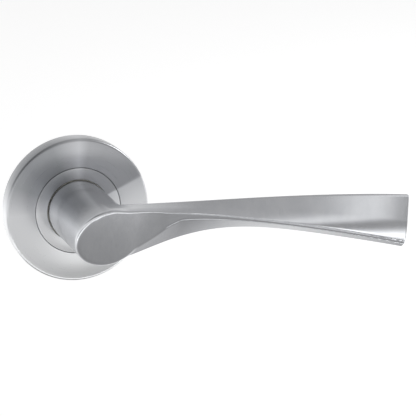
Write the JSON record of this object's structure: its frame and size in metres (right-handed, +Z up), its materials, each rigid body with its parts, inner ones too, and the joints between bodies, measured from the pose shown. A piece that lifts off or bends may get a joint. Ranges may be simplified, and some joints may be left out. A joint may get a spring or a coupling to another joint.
{
  "type": "lever door handle on sprung rose",
  "caption": "Lever door handle on a round sprung rose: a round neck cut by a slanted teardrop facet, a twisted blade, a square spindle and hidden through-door fixings.",
  "frame": {"origin": "centre of the rose's back face, on the spindle axis, in the plane of the door's face", "axes": "+X along the lever towards its tip, +Z up, -Y out of the door towards the user"},
  "size_m": [0.134, 0.097, 0.052],
  "materials": {
    "satin_stainless": "satin brushed stainless steel",
    "turned_stainless": "circular brushed stainless steel",
    "zinc_casting": "bare die-cast zinc",
    "zinc_plated_steel": "zinc plated steel",
    "spring_steel": "bare spring steel",
    "black_steel": "black oxide steel",
    "white_nylon": "natural nylon",
    "black_elastomer": "black elastomer"
  },
  "bodies": {
    "rose_base": {"sub_rose": "zinc_casting", "collar_ring": "turned_stainless", "neck_bush": "white_nylon", "return_spring": "spring_steel", "stop_buffers": "black_elastomer", "spring_plate": "zinc_plated_steel", "plate_screws": "zinc_plated_steel", "snap_ring": "spring_steel", "through_bolts": "zinc_plated_steel", "sleeve_nuts": "zinc_plated_steel", "wood_screws": "zinc_plated_steel"},
    "lever_set": {"lever": "satin_stainless", "spindle": "zinc_plated_steel", "grub_screw": "black_steel", "thrust_washer": "white_nylon", "spring_driver": "zinc_plated_steel", "wave_washer": "spring_steel", "shim_washer": "spring_steel", "circlip": "black_steel"},
    "cover": {"rose_cover": "turned_stainless"}
  },
  "joints": [
    {"name": "lever_turn", "type": "hinge", "parent": "rose_base", "child": "lever_set", "pos_m": [0, 0, 0], "axis": [0, 1, 0], "range_deg": [0, 45], "stiffness_Nm_per_rad": 0.8, "springref_deg": -34.38, "deforming": ["return_spring"]},
    {"name": "cover_slide", "type": "slide", "parent": "rose_base", "child": "cover", "axis": [0, -1, 0], "range_m": [0, 0.024]}
  ]
}
